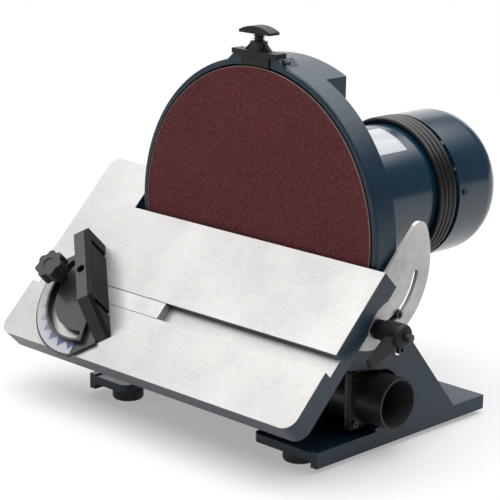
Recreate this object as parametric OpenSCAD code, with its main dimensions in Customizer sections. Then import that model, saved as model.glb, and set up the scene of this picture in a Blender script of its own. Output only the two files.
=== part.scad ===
// Benchtop disc sander: a cast base and disc housing, a motor behind them, a tilting table and a mitre gauge.
// +Z is up, +X is the operator's right and +Y is the back. The origin is the centre of the bench bolts, on the bench.

/* [Disc] */
// Diameter of the abrasive sheet
disc_d = 304.8; // [300:0.2:310]
// Thickness of the abrasive sheet and its backing
abrasive_t = 1; // [0.8:0.1:1.5]
// Distance of the disc plate's edge inside the abrasive's edge
plate_inset = 2.9; // [2:0.1:5]
// Thickness of the aluminium disc plate
plate_t = 10; // [8:0.5:11]
// Height of the drum's lowest point above the bench
drum_lift = 39.5; // [36:0.5:48]
// Distance of the abrasive face in front of the bolt centre
face_fwd = 48; // [46:0.5:50]

/* [Housing] */
// Gap between the abrasive's edge and the drum's wall
disc_gap = 2.1; // [1.5:0.1:4]
// Wall of the drum
drum_wall = 6; // [4:0.5:6.5]
// Depth of the drum from front to back
drum_depth = 27; // [26:0.5:28]
// Distance of the drum's front behind the abrasive face
drum_inset = 1; // [0.5:0.1:2]
// Thickness of the drum's back plate
drum_back_t = 6; // [5:0.5:7]
// Half width of the deep hood and of the column below it
hood_half = 67; // [64:0.5:68]
// Depth of the hood behind the drum
hood_depth = 29; // [27:0.5:32]
// Wall of the hood and column
hood_wall = 6; // [5:0.5:8]

/* [Base] */
// Distance of the base's sides inside the drum's radius
side_inset = 0.5; // [0:0.1:2]
// Reach of the base in front of the bolt centre
base_front = 122; // [121:0.5:128]
// Reach of the base behind the bolt centre
base_rear = 126; // [123:0.5:132]
// Thickness of the side walls
wall_t = 8; // [7:0.5:8]
// Gap between the base and the bench
base_clear = 5; // [4:0.5:7]
// Height of the side rails' top
rail_top = 21; // [20:0.5:23]
// Height of the rear plate's top
deck_top = 19.5; // [18.5:0.5:20.5]
// Thickness of the rear plate and the front tabs
deck_t = 8.5; // [7:0.5:9]
// Hole spacing of the bench bolts from side to side
bolt_x = 242; // [236:1:246]
// Hole spacing of the bench bolts from front to back
bolt_y = 208; // [204:1:211]
// Diameter of a bench bolt hole
bolt_hole_d = 9; // [8.5:0.5:10]

/* [Table] */
// Width of the table's left ear
ear_w = 73.7; // [66:0.1:80]
// Reach of the table past the right side of the base
table_over = 15.5; // [15:0.5:20]
// Depth of the table from the disc to its front edge
table_depth = 175; // [170:0.5:185]
// Thickness of the table plate
table_t = 12; // [11:0.5:12]
// Depth of the table's skirt
skirt_h = 24; // [22:0.5:26]
// Thickness of the table's skirt
skirt_t = 8; // [6:0.5:8]
// Reach of the left ear behind the table's back edge
ear_reach = 51.5; // [46:0.5:54]
// Gap between the ear's inner edge and the drum's side
ear_gap = 7.3; // [7:0.1:8.5]
// Tilt of the table below level, as it rests
tilt = 45; // [40:1:45]
// Drop of the table's tilt axis, which is its top back edge, below the disc axis
pivot_drop = 16; // [14:0.5:17]
// Gap between the abrasive face and the table
table_gap = 4; // [3.5:0.1:5]
// Width of the mitre slot
slot_w = 19; // [18.6:0.1:19.5]
// Depth of the mitre slot
slot_depth = 9; // [9:0.1:9.5]
// Distance of the mitre slot's centre from the back edge
slot_s = 101.5; // [98:0.5:106]

/* [Trunnions and locks] */
// Radius of the trunnion plates about the tilt axis
trunnion_r = 76; // [74:0.5:78]
// Thickness of a trunnion plate
trunnion_t = 4; // [3:0.5:4]
// Radius of the arc slot about the tilt axis
arc_r = 56.5; // [56:0.1:57]
// Width of the arc slot
arc_w = 6.6; // [6.6:0.1:7]
// Diameter of the guide screws and lock studs
stud_d = 6; // [5.5:0.1:6]
// Length of a lock lever from its stud to its tip
lever_len = 46; // [42:1:52]

/* [Motor] */
// Outer radius of the motor barrel
barrel_r = 71; // [70:0.1:71]
// Wall of the motor barrel
barrel_wall = 3; // [2:0.5:3]
// Length of the motor barrel
barrel_len = 169; // [168.5:0.5:170]
// Step of the fan cover outside the motor barrel
cover_over = 6.1; // [5.8:0.1:7]
// Length of the fan cover
cover_len = 78.2; // [74:0.2:86]
// Radius of the fan cover's round rear edge
cover_fillet = 32; // [26:0.5:34]
// Wall of the fan cover
cover_wall = 2; // [1.5:0.1:2]
// Diameter of the motor shaft
shaft_d = 17; // [16:0.5:17]

/* [Dust port] */
// Outer diameter of the port
port_d = 51; // [48:0.5:52]
// Wall of the port
port_wall = 2.5; // [2:0.1:3]
// Height of the port's axis above the drum's lowest point
port_rise = 14.5; // [13.5:0.5:15.5]
// Distance of the port's axis in front of the bolt centre
port_fwd = 36; // [35:0.5:37]

/* [Mitre gauge] */
// Angle of the mitre head from square, as it rests
mitre_deg = 42; // [30:1:45]
// Radius of the half-round head
head_r = 78; // [76:0.5:80]
// Height of the fence
fence_h = 32; // [28:0.5:36]
// Length of the guide bar
bar_len = 165; // [150:1:170]
// Distance of the mitre pivot to the left of the disc axis
mitre_left = 138; // [134:0.5:142]

/* [Cord] */
// Diameter of the mains cord
cord_d = 6.2; // [5.8:0.1:6.2]
// Turns of cord round the motor
cord_turns = 4; // [4:1:4]
// Advance of the winding in one turn
cord_pitch = 6.65; // [6.65:0.01:6.7]

/* [Hidden] */
$fn = 72;

// Overrun of every cut, running clearance of a shaft and clearance of parts that pass each other
over = 1;
run_fit = 0.05;
pass_gap = 0.3;
seat_gap = 0.1;

// Shared colours
paint = [0.13, 0.2, 0.28];
bare = [0.9, 0.9, 0.89];
zinc = [0.78, 0.78, 0.77];
black = [0.13, 0.13, 0.14];
steel = [0.55, 0.56, 0.58];
copper = [0.72, 0.42, 0.22];

// Stations along the disc axis
disc_r = disc_d / 2;
plate_r = disc_r - plate_inset;
drum_in = disc_r + disc_gap;
drum_r = drum_in + drum_wall;
axis_h = drum_lift + drum_r;
shaft_r = shaft_d / 2;
face_y = -face_fwd;
plate_y = face_y + abrasive_t;
plate_back = plate_y + plate_t;
drum_y = face_y + drum_inset;
drum_back = drum_y + drum_depth;
hood_back = drum_back + hood_depth;
barrel_back = hood_back + barrel_len;
drum_edge = 3;
hub_r = 28;
hub_len = 23;
hub_screw_d = 6;
hub_hole_r = 32;

// Base outline
wall_x = drum_r - side_inset;
wall_in = wall_x - wall_t;
wall_gap = 0.86;
wall_top = axis_h - sqrt(pow(drum_r, 2) - pow(wall_in - wall_gap, 2));
slant_foot = 78;
slant_top = -10.5;
slant_drop = 20;
slant_top_z = wall_top - slant_drop;
arm_nose = -84;
arm_rise = 38;
arm_top = -62;
arm_lip_rise = 30;
lip_back = 4;
port_relief = 3.5;
tab_right = 76;
tab_left = 106;
tab_w = 30;
tab_round = 8;
web_t = 8;
column_drop = 95;
web_h = axis_h - column_drop;
deck_front = -web_t / 2;
deck_z = deck_top - deck_t;
grommet_d = 14;
foot_d = 32;
foot_sole_d = 29;
foot_edge = 2;
foot_cap = 3;
spigot_top = deck_top - foot_cap;

// Housing lugs and their bolts
lug_in = 100;
lug_y = drum_back;
lug_w = 16;
lug_h = 28;
lug_gap = 1.5;
lug_bolt_d = 5;
lug_bolt_y = lug_y + lug_w / 2;
lug_bolt_len = 30;
lug_head_d = 8.5;
lug_head_h = 4.4;
lug_key_d = 4.6;
lug_key_depth = 2.4;
lug_washer_d = 11.5;
lug_washer_t = 1.2;

// Brake on top of the drum
brake_set = 5;
brake_y = face_y + brake_set;
boss_half = 30;
boss_over = 2.5;
boss_top = drum_r + boss_over;
boss_depth = 20;
boss_root = 20;
boss_flare = 8;
boss_rise = 7;
notch_half = 18.5;
notch_d = 11;
notch_gap = 0.15;
brake_plate_d = 14;
brake_plate_t = 5;
block_gap = 0.5;
block_r = drum_in - block_gap;
shoe_half = 12.6;
shoe_d = 6;
shoe_gap = 0.3;
shoe_h = 6;
brake_hub_r = 8.5;
brake_hub_h = 9;
gusset_half = 17;
gusset_t = 4;
stem_r = 4.2;
stem_rise = 7.5;
spring_wire = 1;
spring_r = 5.2;
spring_turns = 2;
tee_half = 20.5;
tee_d = 14;
tee_h = 7.5;
tee_arc_r = 45;
brake_screw_x = 23;
brake_screw_len = 11;
brake_screw_d = 4;
brake_screw_head_d = 7;
brake_screw_head_h = 3;
side_screw_len = 14;
side_screw_in = 3;
side_screw_d = 4;
side_screw_drop = 2.5;

// Motor internals
bell_t = 10;
bell_r = barrel_r - barrel_wall;
bell_hub_r = 27;
bell_hub_len = 18;
bearing_r = 20;
bearing_t = 12;
bearing_race = 3;
shaft_pass = 10;
stator_len = 70;
stator_fwd = 41;
stator_y = hood_back + stator_fwd;
stator_depth = 26;
stator_bore = bell_r - stator_depth;
slot_count = 24;
slot_back = 14;
slot_r = bell_r - slot_back;
slot_half = 2.4;
winding_len = 17;
winding_depth = 20;
winding_gap = 4;
winding_r_out = bell_r - winding_gap;
winding_r_in = winding_r_out - winding_depth;
winding_edge = 6;
rotor_gap = 0.5;
fan_hub_r = 14;
cover_r = barrel_r + cover_over;
fan_gap = 17.1;
fan_r = cover_r - cover_wall - fan_gap;
fan_len = 24;
fan_blades = 7;
fan_blade_t = 2.5;
fan_back = 3;
motor_bolt_in = 12;
motor_bolt_pcr = bell_r - motor_bolt_in;
motor_bolt_d = 6;
motor_bolt_len = 14;
motor_bolt_head_d = 10;
motor_bolt_head_h = 6;
cover_step = 1.5;
cover_y = barrel_back + cover_step;
cover_lug_start = 1;
cover_lug_r = cover_r - cover_wall - seat_gap;
cover_lug_w = 14;
cover_lug_len = 14;
air_gap = 0.5;
bell_rim = 6;
bell_neck = 0.5;
bell_rim_t = 1.4;
bell_rim_r = cover_r - cover_wall - air_gap;
cover_lug_root = 14;
cover_screw_y = 8;
cover_screw_d = 4;
cover_screw_head_d = 7;
cover_screw_head_h = 1.6;
cover_screw_len = 9;
cover_screw_turn = -4.4;
vent_d = 6;
vent_counts = [8, 14, 20];
vent_ring_shares = [0.31, 0.555, 0.8];
label_fwd = 71;
label_y = hood_back + label_fwd;
label_len = 48;
label_start = 49;
label_sweep = 34;
label_t = 0.3;

// Switch box on the left of the motor
box_lap = 13;
box_w = 60;
box_x1 = box_lap - barrel_r;
box_x0 = box_x1 - box_w;
box_len = 72;
gland_inset = 9.7;
box_lift = 32;
box_z = axis_h + box_lift;
box_h = 42;
box_wall = 3;
lid_t = 3;
lid_screw_d = 4;
lid_screw_head_d = 7;
lid_screw_head_h = 2;
lid_screw_inset = 6;
lid_screw_len = 12;
post_w = 9;
post_len = 14;
cap_r = 15;
cap_gap = 2;
cap_in = 28;
cap_x = box_x0 + cap_in;
cap_end = 4;
switch_w = 22;
switch_h = 30;
switch_depth = 24;
switch_lip = 2.5;
switch_lip_t = 2;
switch_y = 24;
cap_len = box_len - cap_end - cap_gap - switch_y - switch_w / 2;
rocker_w = 17;
rocker_h = 25;
rocker_mid = 3.5;
rocker_end = 5.5;
rocker_back = 2;
rocker_taper = 1;
rocker_pin_r = 1.5;
rocker_pin_len = 2;
rocker_deg = 10;
rocker_side_gap = 0.4;
rocker_end_gap = 1.2;
rocker_well = 5;

// Dust path
port_r = port_d / 2;
port_y = -port_fwd;
port_z = drum_lift + port_rise;
arm_z = port_z + arm_rise;
arm_lip = port_z + arm_lip_rise;
port_bore = port_r - port_wall;
duct_r = 28;
duct_wall = 3;
duct_left = 36;
flange_inset = 7;
flange_x = wall_in - flange_inset;
flange_t = 4;
flange_w = 57;
lug_z = port_z + flange_w / 2 + lug_gap + lug_h / 2;
port_len = 34;
port_screw_off = 23;
port_screw_d = 4;
port_screw_head_d = 7;
port_screw_head_h = 2.5;

// Table and trunnions; the table's own frame has Y up the slope and Z off its top
pivot_y = face_y - table_gap;
pivot_z = axis_h - pivot_drop;
ear_inner = drum_r + ear_gap;
table_left = ear_inner + ear_w;
table_right = wall_x + table_over;
corner_r = 14;
ear_corner_r = 11;
rib_t = 6;
rib_h = 20;
rib_front = 40;
rib_x = [-120, -40, 40, 120];
slot_floor = 6;
arch_s = 36;
arch_r = 38;
arch_in = 20;
arch_depth = 5.5;
trunnion_gap = 2.5;
trunnion_x = wall_x + trunnion_gap;
tip_fillet = 12;
guide_deg = -58;
lock_deg = -88;
arc_from_deg = -95.4;
tilt_range = 45;
rim_w = 18;
rim_hole_len = 8.5;
rim_t = 3;
rim_front = 70;
rim_back = 14;
rim_screw_d = 6;
rim_screw_head_d = 10;
rim_screw_head_h = 4;
rim_screw_len = 8;
rim_screw_in = 14;
rim_screw_places = [26, 58];
guide_y = pivot_y + arc_r * cos(guide_deg);
guide_z = pivot_z + arc_r * sin(guide_deg);
lock_y = pivot_y + arc_r * cos(lock_deg);
lock_z = pivot_z + arc_r * sin(lock_deg);
ear_boss_r = 10.8;
guide_head_d = 8.4;
guide_head_h = 2.8;
guide_key_d = 4.6;
guide_key_depth = 1.6;
spacer_d = 12;

// Lock levers
collar_r = 9.5;
collar_len = 11;
collar_flutes = 18;
flute_r = 1;
collar_x = trunnion_x + trunnion_t + pass_gap;
lever_x = collar_x + collar_len;
lever_hub_r = 11.5;
lever_hub_len = 24;
lever_dome = 5;
lever_right_deg = 26;
lever_left_deg = 90;
lever_arm_out = 18;
lever_root_t = 11;
lever_root_h = 6;
lever_tip_t = 5;
lever_tip_h = 4.7;
lever_tip_cut = 1.5;
lever_nut_d = 8;
lever_nut_h = 6;
lever_nut_gap = 0.3;
lever_stud_in = 1;

// Mitre gauge; the head's own frame has X towards the work and Y along the fence
slide_gap = 0.3;
bar_w = slot_w - 2 * slide_gap;
bar_h = slot_depth - 2 * slide_gap;
bar_right = -50;
head_lift = 0.4;
head_base_t = 3.2;
head_deck_t = 8.6;
head_deck_r = 62.5;
head_deck_deg = 68;
head_cut = 13;
head_half = head_r - head_cut;
head_slot_r = 55.5;
head_slot_w = 9;
head_slot_deg = 60;
fence_back = 10.6;
fence_mid = 1.7;
fence_front = 7.2;
fence_up = 62;
fence_down = 63;
fence_top_down = 28;
fence_hole_r = 4.6;
fence_hole_f = 11;
fence_hole_p = -4.5;
fence_hole_depth = 24;
groove_w = 6;
groove_d = 2.5;
groove_f = [46.4, -33.5];
groove_drop = 5;
mitre_pin_r = 3;
mitre_pin_top = 11.5;
mitre_boss_half = 8;
mitre_boss_h = 14;
mitre_boss_p = 5.2;
mitre_bore_top = 12;
mitre_pin_low = 8;
scale_t = 0.8;
scale_inset = 2;
knob_r = 13.6;
knob_lobe_at = 12;
knob_lobe_r = 4.4;
knob_lobes = 7;
knob_h = 14;
knob_collar_r = 7;
knob_collar_h = 11;
knob_recess_r = 6.6;
knob_turn = 11;
knob_recess = 1;
knob_wall = 4;
mitre_stud_r = 3;
scale_deg = 58;

// Cord winding, in the frame of the disc axis: it leaves the gland at the left, heading down
cord_r = cord_d / 2;
cord_lift = 0.6;
cord_path_r = barrel_r + cord_lift + cord_r;
cord_back = 139.3;
cord_y = hood_back + cord_back;
cord_lead = 26;
cord_lead_turns = 0.3;
cord_steps = 30;
cord_sides = 6;
cord_tail = 50;
cord_tail_steps = 4;
gland_collar_r = 8;
gland_collar_h = 5;
gland_tip_r = 3.4;
gland_root_r = 6.2;
gland_stub_r = 5;
gland_stub = 6;
gland_z = axis_h + cord_d;
gland_y = cord_y - cord_lead;
box_y = gland_y + gland_inset - box_len;
plug_w = 25;
plug_d = 27;
plug_len = 32;
plug_neck = 16;
plug_neck_r = 8;
plug_tip_r = 3.6;
plug_corner = 5;
pin_w = 6.4;
pin_t = 1.6;
pin_len = 16;
pin_gap = 12.7;
pin_earth_d = 4.8;
pin_earth_off = 8;

// Placement helpers
module about_axis(y) translate([0, y, axis_h]) rotate([-90, 0, 0]) children();
module along_x(x, y, z) translate([x, y, z]) rotate([0, 90, 0]) children();
module side_plate(x0, t) translate([x0, 0, 0]) rotate([90, 0, 90]) linear_extrude(t) children();
module on_table() translate([0, pivot_y, pivot_z]) rotate([tilt, 0, 0]) children();
module on_head() on_table() translate([-mitre_left, -slot_s, 0]) rotate([0, 0, mitre_deg]) children();
module on_stud() on_table() translate([-mitre_left - head_slot_r, -slot_s, 0]) children();
module both_sides() {
    children();
    mirror([1, 0, 0]) children();
}
module block(low, high) translate(low) cube(high - low);
module tube(ro, ri, h) difference() {
    cylinder(r = ro, h = h);
    translate([0, 0, -over]) cylinder(r = ri, h = h + 2 * over);
}
module rounded_box_2d(x0, y0, x1, y1, r) {
    translate([x0 + r, y0]) square([x1 - x0 - 2 * r, y1 - y0]);
    translate([x0, y0 + r]) square([x1 - x0, y1 - y0 - 2 * r]);
    for (x = [x0 + r, x1 - r], y = [y0 + r, y1 - r]) translate([x, y]) circle(r);
}
module cap_screw(d, len, head_d, head_h, key_d, key_depth) {
    translate([0, 0, -len]) cylinder(d = d, h = len);
    difference() {
        cylinder(d = head_d, h = head_h);
        translate([0, 0, head_h - key_depth]) cylinder(d = key_d, h = key_depth + over, $fn = 6);
    }
}
module pan_screw(d, len, head_d, head_h) {
    slot = head_d / 6;
    translate([0, 0, -len]) cylinder(d = d, h = len);
    difference() {
        cylinder(d = head_d, h = head_h);
        for (a = [0, 90]) rotate([0, 0, a])
            translate([-head_d / 3, -slot / 2, head_h / 2]) cube([head_d / 1.5, slot, head_h]);
    }
}

// Base
module bench_holes() for (x = [-1, 1], y = [-1, 1]) translate([x * bolt_x / 2, y * bolt_y / 2, 0]) children();

module wall_outline() difference() {
    union() {
        polygon([
            [-base_front, base_clear], [base_rear, base_clear], [base_rear, deck_top], [slant_foot, deck_top],
            [slant_top, slant_top_z], [guide_y, wall_top], [arm_top, wall_top], [arm_nose, arm_z],
            [port_y - lip_back, arm_lip], [port_y - lip_back, rail_top], [-base_front, rail_top]
        ]);
        translate([guide_y, guide_z]) circle(ear_boss_r);
    }
    translate([port_y, port_z]) circle(port_r + port_relief);
}

module base_casting() color(paint) difference() {
    union() {
        both_sides() side_plate(wall_in, wall_t) wall_outline();
        translate([0, -base_front, deck_z]) linear_extrude(deck_t) {
            rounded_box_2d(tab_right, 0, wall_x, tab_w, tab_round);
            rounded_box_2d(-wall_x, 0, -tab_left, tab_w, tab_round);
            translate([tab_right, tab_w / 2]) square([wall_x - tab_right, base_front - tab_w / 2]);
            translate([-wall_x, tab_w / 2]) square([wall_x - tab_left, base_front - tab_w / 2]);
        }
        difference() {
            block([-wall_x, deck_front, base_clear], [wall_x, base_rear, deck_top]);
            block([-wall_in, deck_front + web_t, 0], [wall_in, base_rear - wall_t, deck_z]);
        }
        block([-wall_in, -web_t / 2, base_clear], [wall_in, web_t / 2, web_h]);
    }
    bench_holes() cylinder(d = bolt_hole_d, h = rail_top);
    bench_holes() cylinder(d = grommet_d, h = spigot_top);
    bench_holes() cylinder(d = foot_d + 2 * pass_gap, h = deck_z);
    both_sides() {
        along_x(lug_in, lug_bolt_y, lug_z) cylinder(d = lug_bolt_d + 2 * seat_gap, h = wall_x);
        along_x(lug_in, guide_y, guide_z) cylinder(d = stud_d, h = wall_x);
        along_x(lug_in, lock_y, lock_z) cylinder(d = stud_d, h = wall_x);
    }
}

module rubber_feet() color(black) bench_holes() difference() {
    union() {
        cylinder(d1 = foot_sole_d, d2 = foot_d, h = foot_edge);
        translate([0, 0, foot_edge]) cylinder(d = foot_d, h = deck_z - foot_edge);
        cylinder(d = grommet_d, h = spigot_top);
    }
    translate([0, 0, -over]) cylinder(d = bolt_hole_d, h = spigot_top + 2 * over);
}

// Disc housing
module drum_profile() difference() {
    union() {
        square([drum_r, drum_depth - drum_edge]);
        translate([0, drum_depth - drum_edge]) square([drum_r - drum_edge, drum_edge]);
        translate([drum_r - drum_edge, drum_depth - drum_edge]) circle(drum_edge);
    }
    translate([-over, drum_back_t]) square([drum_in + over, drum_depth]);
    translate([-drum_edge, -over]) square([drum_edge, drum_depth + 2 * over]);
}

module hood_solid() intersection() {
    block([-hood_half, drum_back - over, web_h], [hood_half, hood_back, axis_h + drum_r]);
    union() {
        about_axis(drum_back - over) cylinder(r = drum_r, h = hood_depth + over);
        block([-hood_half, drum_back - over, web_h], [hood_half, hood_back, axis_h]);
    }
}

module disc_housing() color(paint) difference() {
    union() {
        translate([0, drum_back, axis_h]) rotate([90, 0, 0]) rotate_extrude() drum_profile();
        hood_solid();
        translate([0, drum_y + boss_depth, axis_h + boss_top]) rotate([90, 0, 0]) linear_extrude(boss_depth) polygon([
            [-boss_half - boss_flare, -boss_root], [boss_half + boss_flare, -boss_root], [boss_half + boss_flare, -boss_rise],
            [boss_half, 0], [-boss_half, 0], [-boss_half - boss_flare, -boss_rise]
        ]);
        both_sides() block([lug_in, lug_y - over, lug_z - lug_h / 2], [wall_in, lug_y + lug_w, lug_z + lug_h / 2]);
    }
    about_axis(drum_y - over) cylinder(r = drum_in, h = drum_depth - drum_back_t + over);
    intersection() {
        block([-hood_half + hood_wall, drum_back, web_h + hood_wall],
            [hood_half - hood_wall, hood_back - hood_wall, axis_h + drum_r]);
        about_axis(drum_back) cylinder(r = drum_r - hood_wall, h = hood_depth);
    }
    about_axis(drum_y) cylinder(r = hub_hole_r, h = hood_back - drum_y + over);
    block([-notch_half - notch_gap, drum_y - over, axis_h + drum_in - over],
        [notch_half + notch_gap, brake_y + notch_d / 2 + notch_gap, axis_h + boss_top + over]);
    for (x = [-1, 1]) translate([x * brake_screw_x, brake_y, axis_h + boss_top - boss_root / 2])
        cylinder(d = brake_screw_d, h = boss_root);
    along_x(boss_half - side_screw_in, brake_y, axis_h + boss_top - side_screw_drop)
        cylinder(d = side_screw_d, h = side_screw_len);
    both_sides() along_x(wall_in - lug_bolt_len + wall_t, lug_bolt_y, lug_z) cylinder(d = lug_bolt_d, h = lug_bolt_len);
    along_x(duct_left, port_y, port_z) cylinder(r = duct_r - duct_wall, h = flange_x);
    about_axis(hood_back - hood_wall - over) motor_bolt_places() cylinder(d = motor_bolt_d, h = hood_wall + 2 * over);
}

module housing_bolts() color(steel) both_sides() along_x(wall_x + lug_washer_t, lug_bolt_y, lug_z)
    cap_screw(lug_bolt_d, lug_bolt_len + lug_washer_t - over, lug_head_d, lug_head_h, lug_key_d, lug_key_depth);

module bolt_washers() color(bare) both_sides() along_x(wall_x, lug_bolt_y, lug_z)
    tube(lug_washer_d / 2, lug_bolt_d / 2, lug_washer_t);

// Dust path
module port_corners() for (y = [-1, 1], z = [-1, 1])
    along_x(flange_x, port_y + y * port_screw_off, port_z + z * port_screw_off) children();

module port_flange(x) difference() {
    block([x, port_y - flange_w / 2, port_z - flange_w / 2], [x + flange_t, port_y + flange_w / 2, port_z + flange_w / 2]);
    along_x(x - over, port_y, port_z) cylinder(r = port_bore, h = flange_t + 2 * over);
}

module dust_duct() color(black) difference() {
    union() {
        along_x(duct_left, port_y, port_z) difference() {
            cylinder(r = duct_r, h = flange_x - duct_left);
            translate([0, 0, duct_wall]) cylinder(r = duct_r - duct_wall, h = flange_x);
        }
        port_flange(flange_x - flange_t);
    }
    about_axis(drum_y - drum_r) cylinder(r = drum_r, h = 2 * drum_r);
    port_corners() translate([0, 0, -flange_t - over]) cylinder(d = port_screw_d, h = flange_t + 2 * over);
}

module dust_port() color(black) difference() {
    union() {
        port_flange(flange_x);
        along_x(flange_x + flange_t, port_y, port_z) tube(port_r, port_bore, port_len);
    }
    port_corners() translate([0, 0, -over]) cylinder(d = port_screw_d, h = flange_t + 2 * over);
}

module port_screws() color(steel) port_corners() translate([0, 0, flange_t])
    pan_screw(port_screw_d, 2 * flange_t, port_screw_head_d, port_screw_head_h);

// Disc brake
module at_brake(z) translate([0, brake_y, axis_h + z]) children();
module rim_cut(r) about_axis(drum_y - 2 * over) cylinder(r = r, h = drum_depth + 2 * over, $fn = 360);

module brake_bracket() color(black) {
    hub_z = boss_top + brake_plate_t;
    difference() {
        union() {
            at_brake(boss_top) translate([-boss_half, -brake_plate_d / 2, 0])
                cube([2 * boss_half, brake_plate_d, brake_plate_t]);
            at_brake(drum_in - over) translate([-notch_half, -notch_d / 2, 0])
                cube([2 * notch_half, notch_d, boss_top - drum_in + over]);
            intersection() {
                at_brake(hub_z) cylinder(r = brake_hub_r, h = brake_hub_h);
                at_brake(hub_z) translate([-brake_hub_r, -brake_plate_d / 2, 0])
                    cube([2 * brake_hub_r, brake_plate_d, brake_hub_h]);
            }
            at_brake(hub_z) translate([0, gusset_t / 2, 0]) rotate([90, 0, 0]) linear_extrude(gusset_t)
                polygon([[-gusset_half, 0], [gusset_half, 0], [brake_hub_r, brake_hub_h - over], [-brake_hub_r, brake_hub_h - over]]);
        }
        rim_cut(block_r);
        at_brake(0) translate([-shoe_half - shoe_gap, -shoe_d / 2 - shoe_gap, 0])
            cube([2 * (shoe_half + shoe_gap), shoe_d + 2 * shoe_gap, block_r + shoe_h + shoe_gap]);
        at_brake(0) cylinder(r = stem_r + run_fit, h = boss_top + brake_plate_t + brake_hub_h + over);
        for (x = [-1, 1]) at_brake(boss_top - over) translate([x * brake_screw_x, 0, 0])
            cylinder(d = brake_screw_d, h = brake_plate_t + 2 * over);
        for (x = [-1, 1]) at_brake(hub_z - brake_screw_head_h) translate([x * brake_screw_x, 0, 0])
            cylinder(d = brake_screw_head_d + 2 * seat_gap, h = brake_screw_head_h + over);
    }
}

module brake_screws() color(steel) for (x = [-1, 1])
    at_brake(boss_top + brake_plate_t - brake_screw_head_h) translate([x * brake_screw_x, 0, 0]) pan_screw(brake_screw_d, brake_screw_len, brake_screw_head_d, brake_screw_head_h);

module brake_side_screw() color(steel) along_x(boss_half - side_screw_in, brake_y, axis_h + boss_top - side_screw_drop)
    cylinder(d = side_screw_d, h = side_screw_len);

// One tube of polygon sections along a list of points, each section square to the mean direction there
function unit(v) = v / norm(v);
function tangent(p, i) = unit(p[min(i + 1, len(p) - 1)] - p[max(i - 1, 0)]);
function section(p, i, r, sides, up) = let (t = tangent(p, i), a = unit(cross(up, t)), b = cross(t, a))
    [for (k = [0 : sides - 1]) p[i] + r * (cos(360 * k / sides) * a + sin(360 * k / sides) * b)];
module swept(p, r, sides, up) {
    n = len(p);
    rows = [for (i = [0 : n - 1]) each section(p, i, r, sides, up)];
    walls = [for (i = [0 : n - 2], k = [0 : sides - 1]) let (a = i * sides + k, b = i * sides + (k + 1) % sides)
        each [[a, a + sides, b + sides], [a, b + sides, b]]];
    caps = [for (k = [1 : sides - 2]) each [[0, k, k + 1], [(n - 1) * sides, (n - 1) * sides + k + 1, (n - 1) * sides + k]]];
    polyhedron(rows, concat(walls, caps));
}

spring_z0 = axis_h + boss_top + brake_plate_t + brake_hub_h;
spring_len = stem_rise - spring_wire - 2 * seat_gap;
spring_steps = 8;
spring_path = [for (i = [0 : spring_turns * spring_steps]) let (t = i / spring_steps)
    [spring_r * cos(360 * t), brake_y + spring_r * sin(360 * t),
        spring_z0 + seat_gap + spring_wire / 2 + spring_len * t / spring_turns]];
spring_sides = 6;

module brake_spring() color(steel) swept(spring_path, spring_wire / 2, spring_sides, [0, 0, 1]);

module brake_plunger() color(black) {
    tee_z = boss_top + brake_plate_t + brake_hub_h + stem_rise;
    at_brake(block_r + shoe_h) cylinder(r = stem_r, h = tee_z - block_r - shoe_h + over);
    at_brake(tee_z) translate([0, tee_d / 2, 0]) rotate([90, 0, 0]) linear_extrude(tee_d) intersection() {
        translate([-tee_half, 0]) square([2 * tee_half, tee_h]);
        translate([0, tee_h - tee_arc_r]) circle(tee_arc_r, $fn = 180);
    }
}

module brake_shoe() color(black) difference() {
    at_brake(0) translate([-shoe_half, -shoe_d / 2, 0]) cube([2 * shoe_half, shoe_d, block_r + shoe_h]);
    rim_cut(block_r);
}

// Motor
module motor_bolt_places() for (a = [45 : 90 : 315]) rotate([0, 0, a]) translate([motor_bolt_pcr, 0, 0]) children();

module motor_barrel() color(paint) about_axis(hood_back) tube(barrel_r, bell_r, barrel_len);

module bell() difference() {
    union() {
        cylinder(r = bell_r, h = bell_t);
        cylinder(r = bell_hub_r, h = bell_hub_len);
    }
    translate([0, 0, bell_hub_len - bearing_t]) cylinder(r = bearing_r, h = bearing_t + over);
    translate([0, 0, -over]) cylinder(r = shaft_pass, h = bell_hub_len);
}

module front_bell() color(zinc) difference() {
    about_axis(hood_back) bell();
    about_axis(hood_back - over) motor_bolt_places() cylinder(d = motor_bolt_d, h = bell_t + 2 * over);
}

module cover_lugs() for (a = [0 : 120 : 240]) rotate([0, 0, a + cover_screw_turn]) children();

module rear_bell() color(zinc) difference() {
    union() {
        translate([0, barrel_back, axis_h]) rotate([90, 0, 0]) bell();
        intersection() {
            about_axis(barrel_back - over) cylinder(r = bell_r, h = cover_step + over);
            about_axis(barrel_back - over) cover_lugs() translate([cover_lug_r - cover_lug_root, -cover_lug_w / 2, 0])
                cube([cover_lug_root, cover_lug_w, cover_step + over]);
        }
        about_axis(barrel_back - over) rotate_extrude() polygon([[bell_r - bell_rim, 0], [bell_r - bell_neck, 0],
            [bell_r - bell_neck, cover_step], [bell_rim_r, cover_step], [bell_rim_r, cover_step + bell_rim_t],
            [bell_r - bell_rim, cover_step + bell_rim_t]]);
        intersection() {
            about_axis(barrel_back + cover_lug_start) cylinder(r = cover_lug_r, h = cover_lug_len);
            about_axis(barrel_back + cover_lug_start) cover_lugs()
                translate([cover_lug_r - cover_lug_root, -cover_lug_w / 2, 0]) cube([cover_lug_root, cover_lug_w, cover_lug_len]);
        }
    }
    about_axis(cover_y + cover_screw_y) cover_lugs() rotate([0, 90, 0]) cylinder(d = cover_screw_d, h = cover_r);
}

module motor_bolts() color(steel) about_axis(hood_back - hood_wall) motor_bolt_places() rotate([180, 0, 0])
    cap_screw(motor_bolt_d, motor_bolt_len, motor_bolt_head_d, motor_bolt_head_h, motor_bolt_d / 2, motor_bolt_head_h / 2);

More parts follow.
